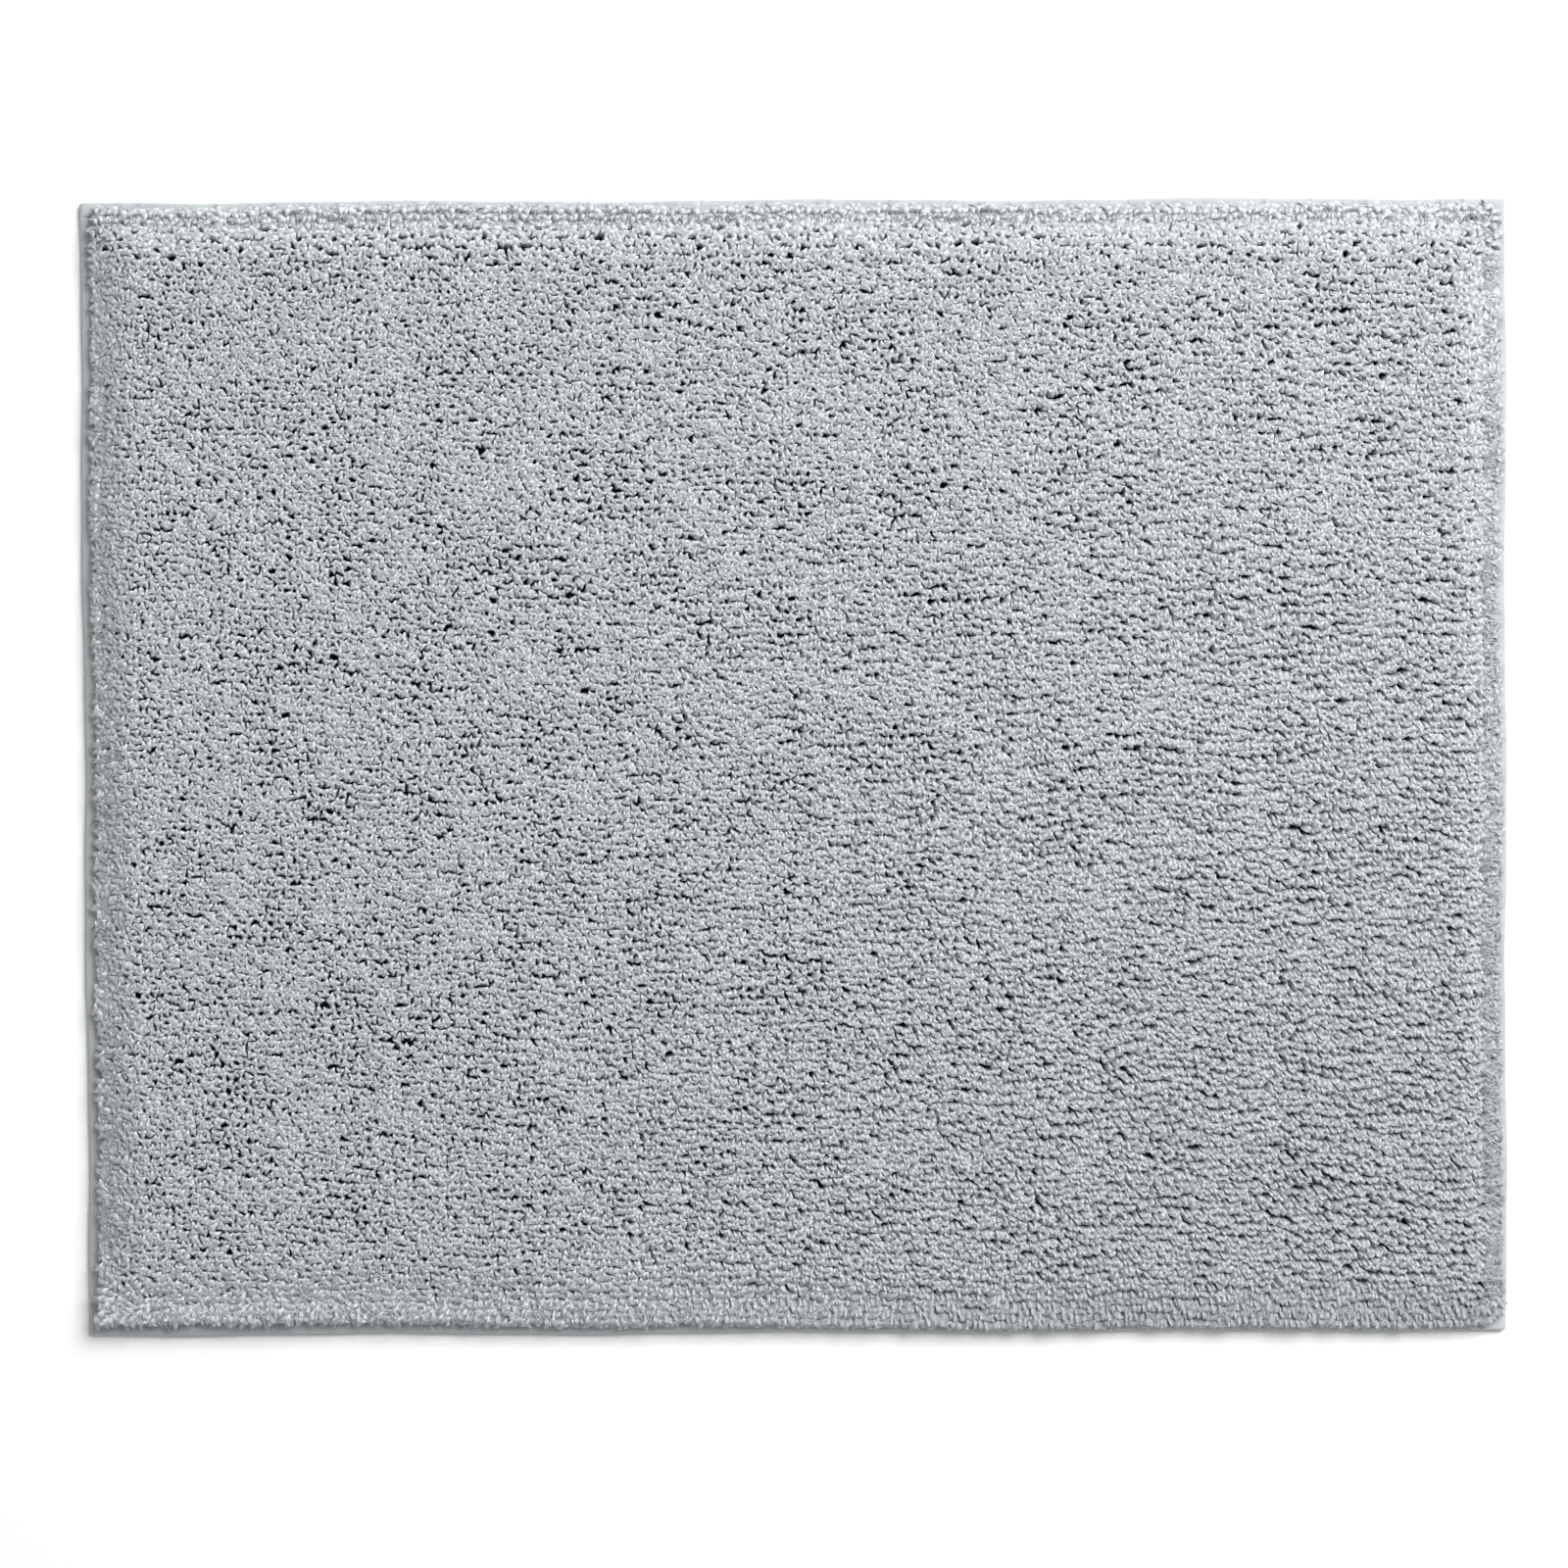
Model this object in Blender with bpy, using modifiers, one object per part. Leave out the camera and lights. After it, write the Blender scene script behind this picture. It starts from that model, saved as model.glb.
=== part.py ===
"""Bath mat: cut pile tufted through a woven ground cloth, a latex coat under it, and a folded tape round its rim.

Metres, +Z up. X runs along the tuft rows, which is the mat's long way, and +Y is its back edge. The origin is
the middle of the latex coat's underside, the face that lies on the floor. Each tuft row is one yarn on the
real mat. Neighbouring rows share a solid here, because there are more rows than a parts list wants.
"""

import math

import bmesh
import bpy

# Overall size, measured over the folds of the binding tape.
MAT_LENGTH = 0.700
MAT_WIDTH = 0.558

# Layers, from the floor up.
COAT_THICKNESS = 0.0015
CLOTH_THICKNESS = 0.0008
PILE_HEIGHT = 0.0150

# Tuft rows.
ROW_PITCH = 0.00635  # quarter-inch gauge
ROW_CROWN = 0.0025  # how far a row's middle stands above the furrows beside it
CROWN_STEPS = 6
PILE_BANDS = 42  # solids that the rows are shared among, so that a wide mat still has a short parts list

# Binding tape, folded over the cloth's edge, and the lockstitch seam that holds it.
TAPE_THICKNESS = 0.0006
TAPE_LEG = 0.007  # from the fold's outer edge to the tape's cut edge
FOLD_STEPS = 8
THREAD_DIAMETER = 0.0004
SEAM_INSET = 0.0013  # from the tape's cut edge to the seam
THREAD_SIDES = 2  # bevel resolution, which gives an eight-sided thread

CLEARANCE = 0.0003  # between any two faces that touch on the real mat

# Heights that follow from the layers.
CLOTH_BOTTOM = COAT_THICKNESS + CLEARANCE
CLOTH_TOP = CLOTH_BOTTOM + CLOTH_THICKNESS
PILE_BOTTOM = CLOTH_TOP + CLEARANCE
FOLD_MIDDLE = CLOTH_BOTTOM + CLOTH_THICKNESS / 2

# The fold is a half turn of tape round the cloth's edge, and the cloth ends at the centre of that turn.
FOLD_INNER_RADIUS = CLOTH_THICKNESS / 2 + CLEARANCE
FOLD_CENTRE_RADIUS = FOLD_INNER_RADIUS + TAPE_THICKNESS / 2
FOLD_OUTER_RADIUS = FOLD_INNER_RADIUS + TAPE_THICKNESS

TAPE_INNER_EDGE = TAPE_LEG + CLEARANCE  # what lies inside the tape stays this far from the mat's edge

# name: (base colour, roughness, metallic)
MATERIALS = {
    "pile_yarn": ((0.47, 0.50, 0.51), 0.95, 0.0),
    "ground_cloth": ((0.42, 0.45, 0.46), 0.90, 0.0),
    "latex_coat": ((0.62, 0.63, 0.61), 0.70, 0.0),
    "binding_tape": ((0.40, 0.43, 0.44), 0.85, 0.0),
    "sewing_thread": ((0.45, 0.48, 0.49), 0.60, 0.0),
}


def clear_scene():
    for obj in list(bpy.data.objects):
        bpy.data.objects.remove(obj)


def make_collection(name):
    collection = bpy.data.collections.new(name)
    bpy.context.scene.collection.children.link(collection)
    return collection


def make_materials():
    for name, (colour, roughness, metallic) in MATERIALS.items():
        material = bpy.data.materials.new(name)
        material.use_nodes = True
        shader = material.node_tree.nodes["Principled BSDF"]
        shader.inputs["Base Color"].default_value = (*colour, 1.0)
        shader.inputs["Roughness"].default_value = roughness
        shader.inputs["Metallic"].default_value = metallic


def add_part(name, data, material, collection):
    data.materials.append(bpy.data.materials[material])
    part = bpy.data.objects.new(name, data)
    collection.objects.link(part)
    return part


def add_slab(name, length, width, low, high, material, collection):
    """A flat rectangular layer between two heights, centred on the origin."""
    mesh = bpy.data.meshes.new(name)
    shape = bmesh.new()
    bmesh.ops.create_cube(shape, size=1.0)
    bmesh.ops.scale(shape, vec=(length, width, high - low), verts=shape.verts)
    shape.to_mesh(mesh)
    shape.free()
    slab = add_part(name, mesh, material, collection)
    slab.location.z = (low + high) / 2
    return slab


def add_profile(name, points, run, facing, material, collection, closed):
    """A 2D outline in a vertical plane, run square to that plane.

    Each point is (distance towards facing, height). facing is an angle round +Z, and run is the whole length.
    """
    curve = bpy.data.curves.new(name, "CURVE")
    curve.dimensions = "2D"
    curve.fill_mode = "BOTH" if closed else "NONE"
    curve.extrude = run / 2
    spline = curve.splines.new("POLY")
    spline.points.add(len(points) - 1)
    for point, (out, height) in zip(spline.points, points):
        point.co = (out, height, 0.0, 1.0)
    spline.use_cyclic_u = closed
    part = add_part(name, curve, material, collection)
    part.rotation_euler = (math.pi / 2, 0.0, facing)
    return part


def arc(centre, radius_out, radius_up, start, end, steps):
    """Points on an elliptical arc in a profile's plane, from one angle to the other."""
    turns = (start + (end - start) * step / steps for step in range(steps + 1))
    return [(centre[0] + radius_out * math.cos(a), centre[1] + radius_up * math.sin(a)) for a in turns]


# Latex coat: sprayed on the back of the cloth and cured. It locks the tufts and grips the floor.
def add_latex_coat(collection):
    length = MAT_LENGTH - 2 * TAPE_INNER_EDGE
    width = MAT_WIDTH - 2 * TAPE_INNER_EDGE
    add_slab("latex_coat", length, width, 0.0, COAT_THICKNESS, "latex_coat", collection)


# Ground cloth: the woven sheet that the yarn is needled through. It reaches into the fold of the tape.
def add_ground_cloth(collection):
    length = MAT_LENGTH - 2 * FOLD_OUTER_RADIUS
    width = MAT_WIDTH - 2 * FOLD_OUTER_RADIUS
    add_slab("ground_cloth", length, width, CLOTH_BOTTOM, CLOTH_TOP, "ground_cloth", collection)


# Tuft rows: one yarn for each row, standing as cut pile. Each row is a ridge with a furrow on either side.
def band_outline(rows):
    """The section across a band of rows: a flat foot with a rounded crown over each row."""
    half = rows * ROW_PITCH / 2 - CLEARANCE / 2
    crown_width = 2 * half / rows
    furrow = PILE_BOTTOM + PILE_HEIGHT - ROW_CROWN
    outline = [(-half, PILE_BOTTOM), (half, PILE_BOTTOM)]
    for row in reversed(range(rows)):
        middle = (-half + (row + 0.5) * crown_width, furrow)
        crown = arc(middle, crown_width / 2, ROW_CROWN, 0.0, math.pi, CROWN_STEPS)
        outline += crown if row == rows - 1 else crown[1:]
    return outline


def add_tuft_rows(collection):
    rows = math.floor((MAT_WIDTH - 2 * TAPE_INNER_EDGE) / ROW_PITCH)
    run = MAT_LENGTH - 2 * TAPE_INNER_EDGE
    first_rows = [band * rows // PILE_BANDS for band in range(PILE_BANDS + 1)]
    for band, (first, after) in enumerate(zip(first_rows, first_rows[1:])):
        if after == first:
            continue  # a mat with fewer rows than bands
        name = f"tuft_rows_{band + 1:02d}"
        ridges = add_profile(
            name, band_outline(after - first), run, math.pi / 2, "pile_yarn", collection, closed=True
        )
        ridges.location.y = ((first + after) / 2 - rows / 2) * ROW_PITCH


# Binding tape: a woven tape folded over each edge. The front and back tapes run right across the mat, and the
# side tapes end against them.
SIDES = {
    "front": -math.pi / 2,
    "back": math.pi / 2,
    "left": math.pi,
    "right": 0.0,
}


def reach_and_run(side):
    """How far a side's edge lies from the middle, and how long its tape is."""
    if side in ("front", "back"):
        return MAT_WIDTH / 2, MAT_LENGTH
    return MAT_LENGTH / 2, MAT_WIDTH - 2 * TAPE_INNER_EDGE


def add_binding_tape(side, collection):
    reach, run = reach_and_run(side)
    centre = (reach - FOLD_OUTER_RADIUS, FOLD_MIDDLE)
    cut_edge = reach - TAPE_LEG
    fold = arc(centre, FOLD_CENTRE_RADIUS, FOLD_CENTRE_RADIUS, math.pi / 2, -math.pi / 2, FOLD_STEPS)
    upper_end = (cut_edge, FOLD_MIDDLE + FOLD_CENTRE_RADIUS)
    lower_end = (cut_edge, FOLD_MIDDLE - FOLD_CENTRE_RADIUS)
    profile = [upper_end, *fold, lower_end]
    name = f"binding_tape_{side}"
    tape = add_profile(name, profile, run, SIDES[side], "binding_tape", collection, closed=False)
    solidify = tape.modifiers.new("Solidify", "SOLIDIFY")
    solidify.thickness = TAPE_THICKNESS
    solidify.offset = 0.0
    solidify.use_even_offset = True


# Seam: a lockstitch along each tape. The needle thread lies on the upper leg and the bobbin thread under the
# lower leg.
def add_thread(name, side, height, collection):
    reach, run = reach_and_run(side)
    out = reach - TAPE_LEG + SEAM_INSET
    half_run = run / 2 - SEAM_INSET
    curve = bpy.data.curves.new(name, "CURVE")
    curve.dimensions = "3D"
    curve.bevel_depth = THREAD_DIAMETER / 2
    curve.bevel_resolution = THREAD_SIDES
    curve.use_fill_caps = True
    spline = curve.splines.new("POLY")
    spline.points.add(1)
    spline.points[0].co = (out, -half_run, height, 1.0)
    spline.points[1].co = (out, half_run, height, 1.0)
    thread = add_part(name, curve, "sewing_thread", collection)
    thread.rotation_euler.z = SIDES[side]


def add_seam(side, collection):
    lift = FOLD_OUTER_RADIUS + CLEARANCE + THREAD_DIAMETER / 2
    add_thread(f"needle_thread_{side}", side, FOLD_MIDDLE + lift, collection)
    add_thread(f"bobbin_thread_{side}", side, FOLD_MIDDLE - lift, collection)


def main():
    clear_scene()
    make_materials()
    mat = make_collection("bath_mat")
    add_latex_coat(mat)
    add_ground_cloth(mat)
    add_tuft_rows(mat)
    for side in SIDES:
        add_binding_tape(side, mat)
        add_seam(side, mat)


main()
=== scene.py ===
"""A grey tufted bath mat, seen from straight above on a pale floor.

Metres, +Z up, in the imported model's own frame. The sections follow the mat as it is put together: the
woven ground cloth, the yarn tufted through it, the latex on its back, the tape round its rim and the seam
that holds the tape.
"""

import math

import bmesh
import bpy
import numpy as np
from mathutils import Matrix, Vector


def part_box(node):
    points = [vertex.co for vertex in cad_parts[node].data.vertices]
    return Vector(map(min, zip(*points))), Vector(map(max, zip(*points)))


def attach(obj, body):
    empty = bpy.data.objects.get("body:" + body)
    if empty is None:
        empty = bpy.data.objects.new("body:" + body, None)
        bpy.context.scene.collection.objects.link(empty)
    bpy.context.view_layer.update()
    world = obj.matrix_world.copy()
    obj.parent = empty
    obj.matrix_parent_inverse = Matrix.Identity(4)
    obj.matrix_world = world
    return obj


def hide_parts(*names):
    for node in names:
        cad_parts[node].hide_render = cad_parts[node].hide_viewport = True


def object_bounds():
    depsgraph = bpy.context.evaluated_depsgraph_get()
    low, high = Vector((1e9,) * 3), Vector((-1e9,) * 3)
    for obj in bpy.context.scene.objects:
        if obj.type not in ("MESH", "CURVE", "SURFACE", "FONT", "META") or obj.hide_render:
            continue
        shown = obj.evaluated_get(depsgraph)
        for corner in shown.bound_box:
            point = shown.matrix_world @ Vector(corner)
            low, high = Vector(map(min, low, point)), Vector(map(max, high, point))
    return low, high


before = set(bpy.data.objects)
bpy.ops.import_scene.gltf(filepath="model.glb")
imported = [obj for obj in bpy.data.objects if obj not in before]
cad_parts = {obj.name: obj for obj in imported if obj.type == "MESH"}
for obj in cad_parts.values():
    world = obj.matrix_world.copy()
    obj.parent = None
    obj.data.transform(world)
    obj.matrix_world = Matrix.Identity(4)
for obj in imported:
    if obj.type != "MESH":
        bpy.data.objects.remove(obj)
cad_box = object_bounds()


# Ground cloth. A plain-woven sheet of polyester tape yarn, which the tufting needles punch the pile
# through. The tufts hide its face and the latex its back, and its edge lies in the binding tape's fold.
class Wire:
    """A node's output, which takes part in Python sums: each sum adds its node to the same tree."""

    def __init__(self, tree, socket):
        self.tree = tree
        self.socket = socket

    def calculate(self, operation, *values):
        vector = any(isinstance(v, Wire) and v.socket.type == "VECTOR" for v in values)
        kind = "ShaderNodeVectorMath" if vector else "ShaderNodeMath"
        return self.tree.node(kind, {"operation": operation}, dict(enumerate(values)))

    def __add__(self, other):
        return self.calculate("ADD", self, other)

    def __radd__(self, other):
        return self.calculate("ADD", other, self)

    def __sub__(self, other):
        return self.calculate("SUBTRACT", self, other)

    def __rsub__(self, other):
        return self.calculate("SUBTRACT", other, self)

    def __mul__(self, other):
        return self.calculate("MULTIPLY", self, other)

    def __truediv__(self, other):
        return self.calculate("DIVIDE", self, other)

    def __mod__(self, other):
        return self.calculate("FLOORED_MODULO", self, other)

    def __pow__(self, other):
        return self.calculate("POWER", self, other)

    def scaled(self, factor):
        return self.tree.node("ShaderNodeVectorMath", {"operation": "SCALE"}, {0: self, "Scale": factor})

    def apply(self, operation, *others):
        """One-sided sums, such as SINE, FLOOR or ABSOLUTE."""
        return self.calculate(operation, self, *others)

    def ramp(self, low, high, start=0.0, end=1.0):
        """Runs smoothly from start, where this is low, to end, where it is high."""
        values = {0: self, 1: low, 2: high, 3: start, 4: end}
        return self.tree.node("ShaderNodeMapRange", {"interpolation_type": "SMOOTHSTEP"}, values)


class Tree:
    """A node tree that is written as function calls."""

    def __init__(self, tree):
        self.tree = tree

    def node(self, kind, settings=None, sockets=None, output=0):
        """Adds a node. settings are its own choices, sockets its values or links, output what it gives."""
        made = self.tree.nodes.new(kind)
        for name, value in (settings or {}).items():
            setattr(made, name, value)
        for name, value in (sockets or {}).items():
            if isinstance(value, Wire):
                self.tree.links.new(value.socket, made.inputs[name])
            else:
                made.inputs[name].default_value = value
        return Wire(self, made.outputs[output])

    def parts(self, vector):
        """A vector's three numbers."""
        first = self.node("ShaderNodeSeparateXYZ", None, {0: vector})
        return [Wire(self, socket) for socket in first.socket.node.outputs]

    def vector(self, x, y, z):
        return self.node("ShaderNodeCombineXYZ", None, {0: x, 1: y, 2: z})

    def noise(self, where, scale, detail=2.0, output="Fac"):
        sockets = {"Vector": where, "Scale": scale, "Detail": detail}
        return self.node("ShaderNodeTexNoise", None, sockets, output)

    def mix(self, share, low, high):
        """Between two colours, or a colour and a colour's wire."""
        sockets = {"Factor": share, 6: low, 7: high}
        return self.node("ShaderNodeMix", {"data_type": "RGBA"}, sockets, 2)

    def bump(self, height, distance):
        return self.node("ShaderNodeBump", None, {"Height": height, "Distance": distance})

    def attribute(self, name, output):
        return self.node("ShaderNodeAttribute", {"attribute_name": name}, None, output)

    def place(self):
        """Where a point of the surface lies on its piece."""
        return self.node("ShaderNodeTexCoord", None, None, "Object")


SPECULAR = 0.25  # fibres scatter most of what falls on them
SHEEN_ROUGHNESS = 0.5


def cloth_material(name, roughness, sheen):
    """A dull fibrous finish. Gives the material, its tree and its shader, ready for a colour and a bump."""
    material = bpy.data.materials.new(name)
    material.use_nodes = True
    shader = material.node_tree.nodes["Principled BSDF"]
    shader.inputs["Roughness"].default_value = roughness
    shader.inputs["Specular IOR Level"].default_value = SPECULAR
    shader.inputs["Sheen Weight"].default_value = sheen
    shader.inputs["Sheen Roughness"].default_value = SHEEN_ROUGHNESS
    return material, Tree(material.node_tree), shader


def drive(tree, shader, **wires):
    """Links wires to the shader's sockets: base_color=..., normal=..."""
    for name, wire in wires.items():
        tree.tree.links.new(wire.socket, shader.inputs[name.replace("_", " ").title()])


# How the soft mat lies: its long sides lean a millimetre, its left side runs in towards the front, and its
# edges wander a little. Every piece is settled alike, so that they stay in place on each other.
EDGE_LEAN = 0.0013
SIDE_LEAN = 0.0014
SIDE_TAPER = 0.0012
WANDER = 0.0005
SIDE_WAVES = (9.0, 2.0)  # how quickly the short sides wander, along themselves and across the mat
EDGE_WAVES = (11.0, 1.3)  # and how quickly the long sides do


def settle(points):
    """Moves an array of points from the flat pattern to where the mat really lies."""
    across = points[:, 0] / cad_box[1][0]
    along = points[:, 1] / cad_box[1][1]
    moved = points.copy()
    moved[:, 0] += SIDE_TAPER * across * along - SIDE_LEAN * along
    moved[:, 0] += WANDER * across * np.sin(SIDE_WAVES[0] * along + SIDE_WAVES[1] * across)
    moved[:, 1] += EDGE_LEAN * across
    moved[:, 1] += WANDER * along * np.sin(EDGE_WAVES[0] * across + EDGE_WAVES[1] * along)
    return moved


def finish_piece(piece, material, slot, *nodes):
    """Settles a finished mesh, gives it its material and hides the CAD nodes it stands for."""
    points = np.empty(len(piece.data.vertices) * 3, np.float32)
    piece.data.vertices.foreach_get("co", points)
    settled = settle(points.reshape(-1, 3).astype(float))
    piece.data.vertices.foreach_set("co", settled.astype(np.float32).ravel())
    piece.data.materials.clear()
    piece.data.materials.append(material)
    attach(piece, "root")
    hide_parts(*nodes)
    return piece


SLAB_CREASE = math.radians(50)  # edges sharper than this stay sharp


def woven_slab(name, low, high, columns, rows, relief):
    """A closed sheet between two corners. relief(x, y) is how far its underside is pushed up."""
    x = np.linspace(low[0], high[0], columns)
    y = np.linspace(low[1], high[1], rows)
    grid = np.stack(np.meshgrid(x, y, indexing="ij"), axis=-1).reshape(-1, 2)
    under = np.column_stack([grid, low[2] + relief(grid[:, 0], grid[:, 1])])
    over = np.column_stack([grid, np.full(len(grid), high[2])])
    shape = bmesh.new()
    layers = [[shape.verts.new(p) for p in layer] for layer in (under, over)]
    for i in range(columns - 1):
        for j in range(rows - 1):
            corners = [i * rows + j, (i + 1) * rows + j, (i + 1) * rows + j + 1, i * rows + j + 1]
            shape.faces.new([layers[0][c] for c in reversed(corners)])
            shape.faces.new([layers[1][c] for c in corners])
    rim = [i * rows for i in range(columns)]
    rim += [(columns - 1) * rows + j for j in range(1, rows)]
    rim += [i * rows + rows - 1 for i in reversed(range(columns - 1))]
    rim += list(reversed(range(1, rows - 1)))
    for a, b in zip(rim, rim[1:] + rim[:1]):
        shape.faces.new([layers[0][a], layers[0][b], layers[1][b], layers[1][a]])
    mesh = bpy.data.meshes.new(name)
    shape.to_mesh(mesh)
    shape.free()
    mesh.shade_smooth()
    mesh.set_sharp_from_angle(angle=SLAB_CREASE)
    slab = bpy.data.objects.new(name, mesh)
    bpy.context.scene.collection.objects.link(slab)
    return slab


CLOTH_YARNS = 700  # per metre, each way
CLOTH_FUZZ = 900.0  # how fine its fuzz is
CLOTH_RELIEF = 0.0004  # how far the yarns stand out
CLOTH_DARK = (0.16, 0.175, 0.18, 1.0)
CLOTH_LIGHT = (0.34, 0.36, 0.37, 1.0)

cloth_finish, tree, shader = cloth_material("ground_cloth_weave", roughness=0.9, sheen=0.1)
where = tree.place()
x, y, _ = tree.parts(where)
warp = (x * (CLOTH_YARNS * math.pi)).apply("SINE")
weft = (y * (CLOTH_YARNS * math.pi)).apply("SINE")
weave = (warp * weft) * 0.5 + 0.5
drive(
    tree,
    shader,
    base_color=tree.mix(weave * 0.6 + tree.noise(where, CLOTH_FUZZ) * 0.4, CLOTH_DARK, CLOTH_LIGHT),
    normal=tree.bump(weave, CLOTH_RELIEF),
)

CLOTH_CELL = 0.020  # the spacing of the sheet's mesh
CLOTH_RIPPLE = 0.0001  # half of how far its underside rises and falls
CLOTH_WAVES = (90.0, 110.0)  # how quickly the sheet ripples, along and across
low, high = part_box("ground_cloth")
ground_cloth = woven_slab(
    "ground_cloth_sheet",
    low,
    high,
    round((high.x - low.x) / CLOTH_CELL) + 1,
    round((high.y - low.y) / CLOTH_CELL) + 1,
    lambda x, y: CLOTH_RIPPLE * (1 + np.sin(x * CLOTH_WAVES[0]) * np.sin(y * CLOTH_WAVES[1])),
)
finish_piece(ground_cloth, cloth_finish, "ground_cloth", "ground_cloth")


# Pile. A tufting machine stitches 85 cotton yarns through the cloth side by side, and a knife cuts each loop
# into two legs. Each leg is a twist of three plies, and its cut end bursts into a soft tuft. The legs lean
# the way they were brushed, gather into ridges along the rows, and splay out over the edges.
ROWS = 85
STITCH = 0.0026  # along a row
LEG_LENGTH = 0.0148
LENGTH_SPREAD = (0.97, 1.02)  # as shares of the length
LEG_RADIUS = 0.00216
RADIUS_SPREAD = (0.85, 1.15)
BLOOM = 0.30  # how much fuller the upright legs stand than the brushed ones
PIECES = 14  # the rows are shared among these, and each stands for whole CAD bands

LEG_SIDES = 6
LEG_RINGS = ((0.0, 0.50), (0.82, 1.05), (0.98, 0.80))  # height and radius, as shares of the leg's
LEG_TIP = 0.985  # the middle of the cut end, which the plies stand up round
PLY_GROOVE = 0.45  # how far the grooves between the plies cut in
PLY_VALLEY = 0.022  # how far they cut down into the cut end
LEG_MAP_ROWS = (0.02, 0.40, 0.86)  # where the rings lie on the leg's own map


def yarn_leg(name, sides, rings, tip_height, groove, valley, map_rows):
    """One standing leg, a unit high and a unit in radius, with its own map.

    Every other side is a groove between two plies, and the cut end sinks by valley along the grooves.
    """
    shape = bmesh.new()
    layer = shape.loops.layers.uv.new("leg_map")
    # Marks the grooves between plies and the sunk middle of the cut end, which the yarn's colour darkens as
    # painted shade.
    grooves = shape.verts.layers.float.new("groove")
    loops = []
    for height, radius in rings:
        ring = []
        for side in range(sides):
            angle = 2 * math.pi * side / sides
            reach = radius * (1.0 - groove * (side % 2))
            sunk = valley * (side % 2) * (height == rings[-1][0])
            corner = shape.verts.new((reach * math.cos(angle), reach * math.sin(angle), height - sunk))
            corner[grooves] = side % 2
            ring.append(corner)
        loops.append(ring)
    tip = shape.verts.new((0.0, 0.0, tip_height))
    tip[grooves] = 1.0

    def face(corners, places):
        made = shape.faces.new(corners)
        for loop, place in zip(made.loops, places):
            loop[layer].uv = place

    for side in range(sides):
        after = (side + 1) % sides
        u, w = side / sides, (side + 1) / sides
        for low_ring, high_ring, v, t in zip(loops, loops[1:], map_rows, map_rows[1:]):
            corners = (low_ring[side], low_ring[after], high_ring[after], high_ring[side])
            face(corners, ((u, v), (w, v), (w, t), (u, t)))
        top = loops[-1]
        face((top[side], top[after], tip), ((u, map_rows[-1]), (w, map_rows[-1]), ((u + w) / 2, 1.0)))
    base = list(reversed(range(sides)))
    face([loops[0][side] for side in base], [(side / sides, map_rows[0] * (side % 2)) for side in base])
    mesh = bpy.data.meshes.new(name)
    shape.to_mesh(mesh)
    shape.free()
    mesh.shade_smooth()
    leg = bpy.data.objects.new(name, mesh)
    bpy.context.scene.collection.objects.link(leg)
    leg.hide_render = True
    return leg


def interface(tree, **kinds):
    """Gives a geometry tree its named inputs and its one output, and returns the inputs' wires by name."""
    sockets = tree.tree.interface
    sockets.new_socket(name="Geometry", in_out="OUTPUT", socket_type="NodeSocketGeometry")
    for name, kind in kinds.items():
        sockets.new_socket(name=name, in_out="INPUT", socket_type="NodeSocket" + kind)
    entry = tree.tree.nodes.new("NodeGroupInput")
    return {name: Wire(tree, entry.outputs[name]) for name in kinds}


def store(tree, geometry, name, kind, value, domain="POINT"):
    """Keeps a value on the geometry under a name."""
    settings = {"data_type": kind, "domain": domain}
    sockets = {"Geometry": geometry, "Name": name, "Value": value}
    return tree.node("GeometryNodeStoreNamedAttribute", settings, sockets)


def stored(tree, name, kind):
    """Reads a kept value back."""
    return tree.node("GeometryNodeInputNamedAttribute", {"data_type": kind}, {"Name": name})


def chance(tree, low, high, seed):
    """A random number for each point, between low and high."""
    index = tree.node("GeometryNodeInputIndex")
    sockets = {2: low, 3: high, "ID": index, "Seed": seed}
    return tree.node("FunctionNodeRandomValue", {"data_type": "FLOAT"}, sockets, 1)


def square_on_map(tree, index, count):
    """Which square of a common map belongs to a leg: its column, its row, and how many stand side by side."""
    side = count.apply("SQRT").apply("CEIL")
    return tree.vector(index % side, (index / side).apply("FLOOR"), side)


def planted(tree, points, shape, values):
    """Stands a copy of an object on each point, after keeping the point's values on it."""
    for name, kind, value in values:
        points = store(tree, points, name, kind, value)
    copied = tree.node("GeometryNodeObjectInfo", None, {"Object": shape}, "Geometry")
    stood = tree.node("GeometryNodeInstanceOnPoints", None, {"Points": points, "Instance": copied})
    return tree.node("GeometryNodeRealizeInstances", None, {"Geometry": stood})


MAP_MARGIN = 0.06  # of a leg's own square on the map


def mapped(tree, geometry):
    """Lays each leg's own map in its square of the piece's map."""
    u, v, _ = tree.parts(stored(tree, "leg_map", "FLOAT_VECTOR"))
    column, row, squares = tree.parts(stored(tree, "cell", "FLOAT_VECTOR"))
    spot = tree.vector(
        (column + MAP_MARGIN + u * (1 - 2 * MAP_MARGIN)) / squares,
        (row + MAP_MARGIN + v * (1 - 2 * MAP_MARGIN)) / squares,
        0.0,
    )
    return store(tree, geometry, "OFBake", "FLOAT2", spot, "CORNER")


def give_out(tree, geometry, material):
    """Ends a tree: realizes its instances, gives the mesh its material and puts it out."""
    whole = tree.node("GeometryNodeRealizeInstances", None, {"Geometry": geometry})
    finished = tree.node("GeometryNodeSetMaterial", None, {"Geometry": whole, "Material": material})
    out = tree.tree.nodes.new("NodeGroupOutput")
    tree.tree.links.new(finished.socket, out.inputs["Geometry"])


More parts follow.
